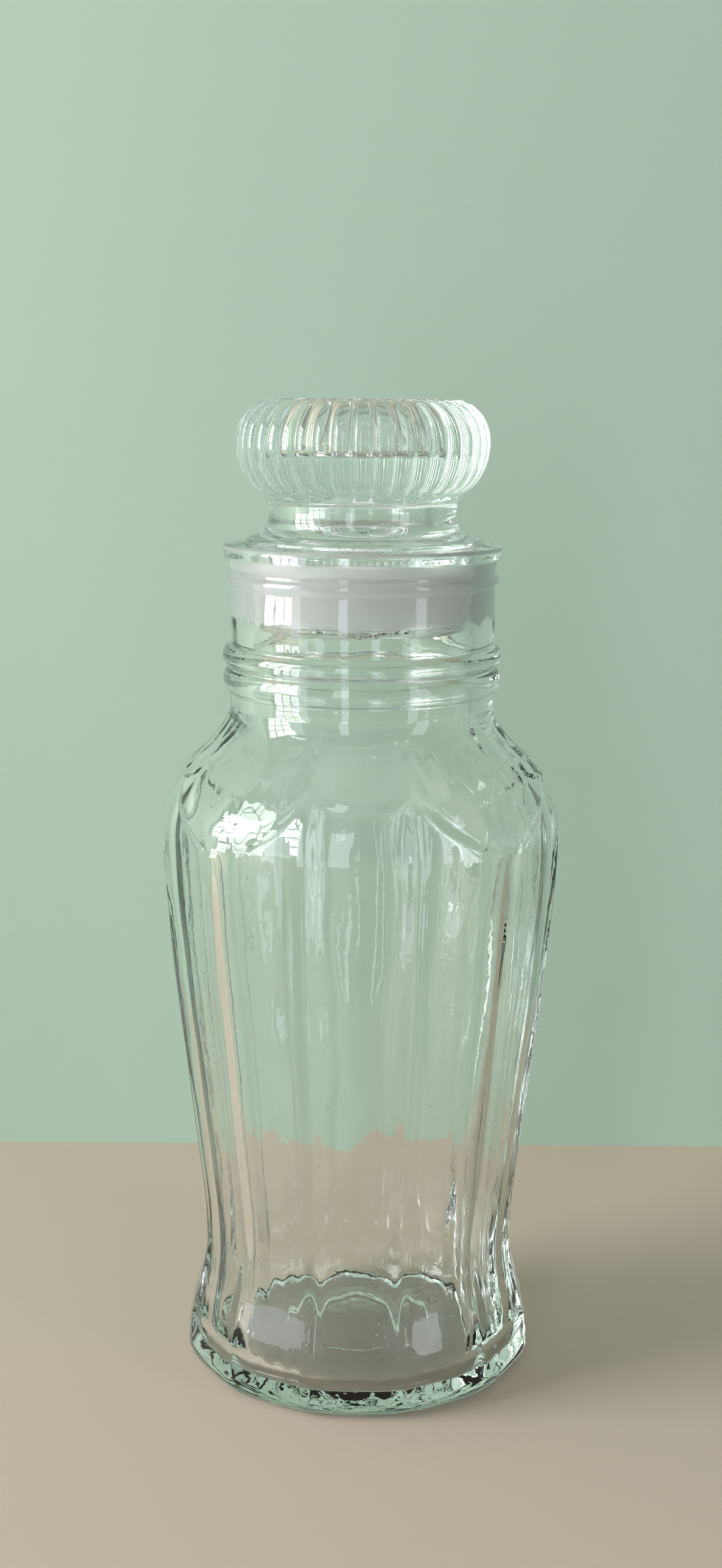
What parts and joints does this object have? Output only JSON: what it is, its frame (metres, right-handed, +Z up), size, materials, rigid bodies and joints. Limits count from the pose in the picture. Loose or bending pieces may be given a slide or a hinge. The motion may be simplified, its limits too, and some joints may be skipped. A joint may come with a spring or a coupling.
{
  "type": "lidded glass canister",
  "caption": "Tall panelled glass storage jar with a flared foot, a ringed round neck and a lift-off glass stopper with a ribbed, dished knob.",
  "frame": {"origin": "centre of the foot, on the surface the jar stands on", "axes": "+Z up along the jar's axis, the front panel faces -Y"},
  "size_m": [0.146, 0.146, 0.36],
  "materials": {
    "jar_glass": "clear, faintly aqua",
    "lid_glass": "clear, the plug ground matt"
  },
  "bodies": {
    "jar": {"jar": "jar_glass"},
    "lid": {"lid": "lid_glass"}
  },
  "joints": [
    {"name": "lid_lift", "type": "slide", "parent": "jar", "child": "lid", "axis": [0, 0, 1], "range_m": [0, 0.08]}
  ]
}
